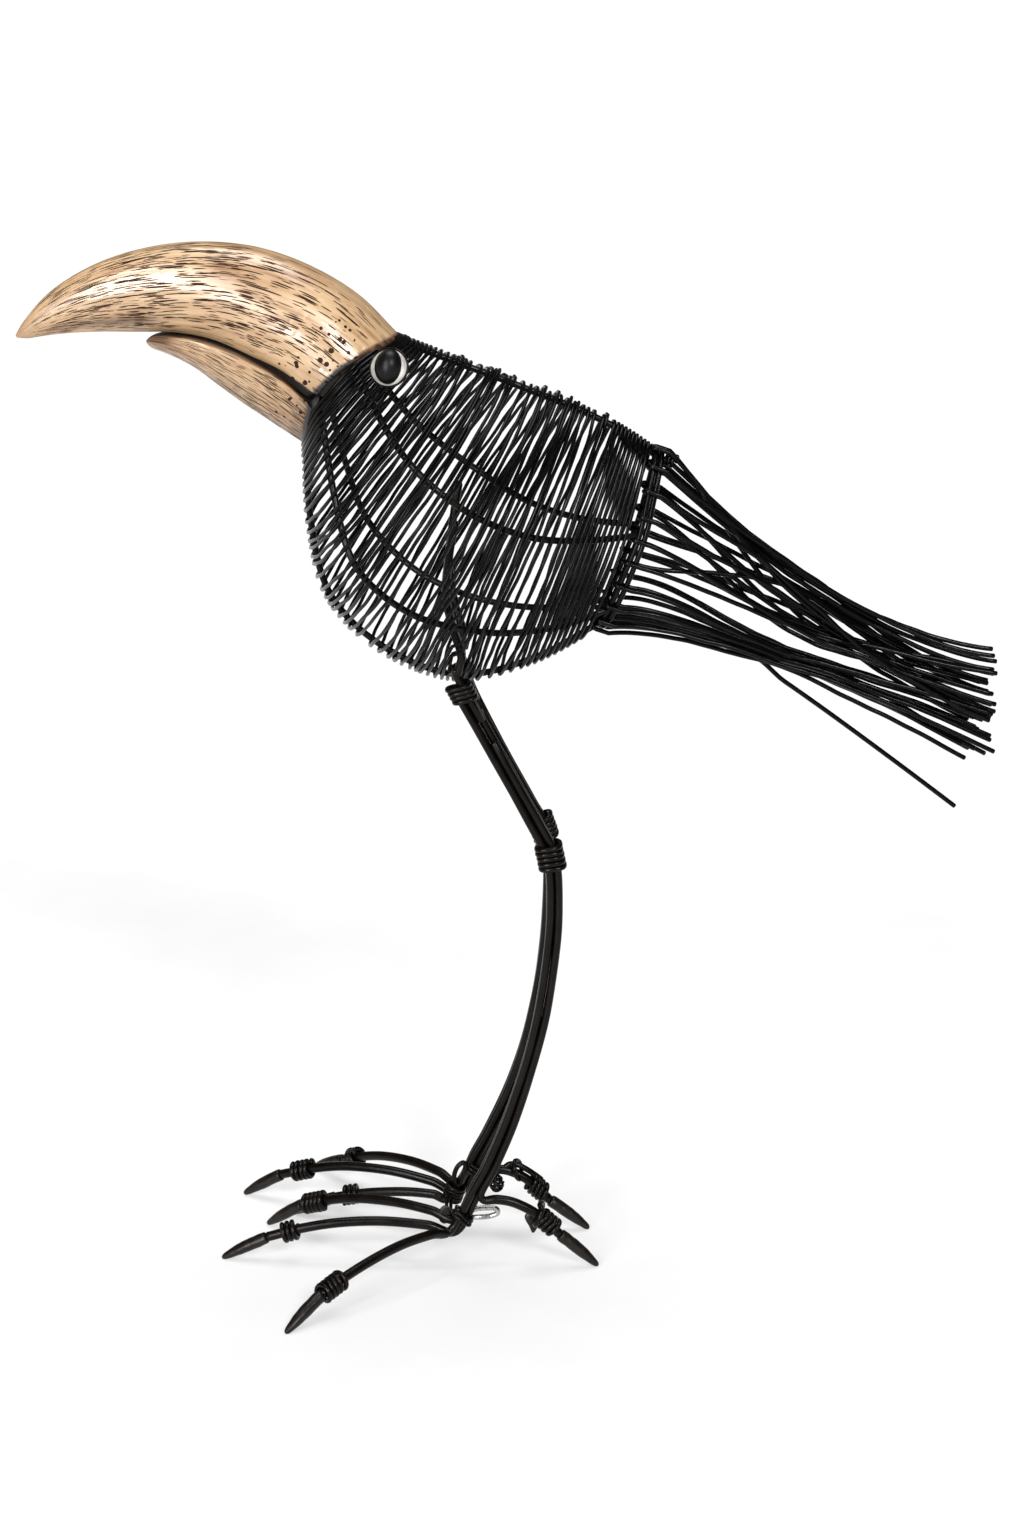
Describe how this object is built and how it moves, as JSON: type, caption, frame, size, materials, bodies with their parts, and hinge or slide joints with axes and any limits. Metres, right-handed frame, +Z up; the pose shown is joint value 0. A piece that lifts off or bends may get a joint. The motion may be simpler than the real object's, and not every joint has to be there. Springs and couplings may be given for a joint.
{
  "type": "bird sculpture",
  "caption": "Standing bird figure with a long curved beak, a body wound from wire over a wire cage, a fan of tail wires and two bound wire legs with spread clawed toes.",
  "frame": {"origin": "on the surface that the claws stand on, below the middle of the figure's box", "axes": "+Z up, +X towards the tail, -X towards the tip of the beak, -Y towards the bird's left side"},
  "size_m": [0.4031, 0.1719, 0.438],
  "materials": {
    "steel_wire": "black annealed or lacquered steel wire, semi-gloss",
    "horn_beak": "pale tan carved and polished, with dark streaks worked into the surface",
    "eye_white": "glossy off-white disc",
    "eye_black": "glossy black bead"
  },
  "bodies": {
    "root": {"spine_wire": "steel_wire", "left_upper_rib": "steel_wire", "left_lower_rib": "steel_wire", "keel_wire": "steel_wire", "right_lower_rib": "steel_wire", "right_upper_rib": "steel_wire", "neck_ring_1": "steel_wire", "neck_ring_2": "steel_wire", "tail_ring_1": "steel_wire", "tail_ring_2": "steel_wire", "body_winding": "steel_wire", "left_hip_wrap": "steel_wire", "left_knee_wrap": "steel_wire", "left_ankle_tie": "steel_wire", "left_leg_outer_toe_wire": "steel_wire", "left_outer_toe_collar": "steel_wire", "left_outer_claw": "steel_wire", "left_leg_middle_toe_wire": "steel_wire", "left_middle_toe_collar": "steel_wire", "left_middle_claw": "steel_wire", "left_leg_inner_toe_wire": "steel_wire", "left_inner_toe_collar": "steel_wire", "left_inner_claw": "steel_wire", "left_leg_back_toe_wire": "steel_wire", "left_back_toe_collar": "steel_wire", "left_back_claw": "steel_wire", "right_hip_wrap": "steel_wire", "right_knee_wrap": "steel_wire", "right_ankle_tie": "steel_wire", "right_leg_outer_toe_wire": "steel_wire", "right_outer_toe_collar": "steel_wire", "right_outer_claw": "steel_wire", "right_leg_middle_toe_wire": "steel_wire", "right_middle_toe_collar": "steel_wire", "right_middle_claw": "steel_wire", "right_leg_inner_toe_wire": "steel_wire", "right_inner_toe_collar": "steel_wire", "right_inner_claw": "steel_wire", "right_leg_back_toe_wire": "steel_wire", "right_back_toe_collar": "steel_wire", "right_back_claw": "steel_wire", "left_tail_hairpin_1": "steel_wire", "left_tail_hairpin_2": "steel_wire", "left_tail_hairpin_3": "steel_wire", "left_tail_hairpin_4": "steel_wire", "left_tail_hairpin_5": "steel_wire", "left_tail_hairpin_6": "steel_wire", "left_tail_hairpin_7": "steel_wire", "right_tail_hairpin_2": "steel_wire", "right_tail_hairpin_3": "steel_wire", "right_tail_hairpin_4": "steel_wire", "right_tail_hairpin_5": "steel_wire", "right_tail_hairpin_6": "steel_wire", "right_tail_hairpin_7": "steel_wire", "upper_beak": "horn_beak", "lower_beak": "horn_beak", "left_eye_disc": "eye_white", "right_eye_disc": "eye_white", "left_eye_bead": "eye_black", "right_eye_bead": "eye_black"}
  },
  "joints": []
}
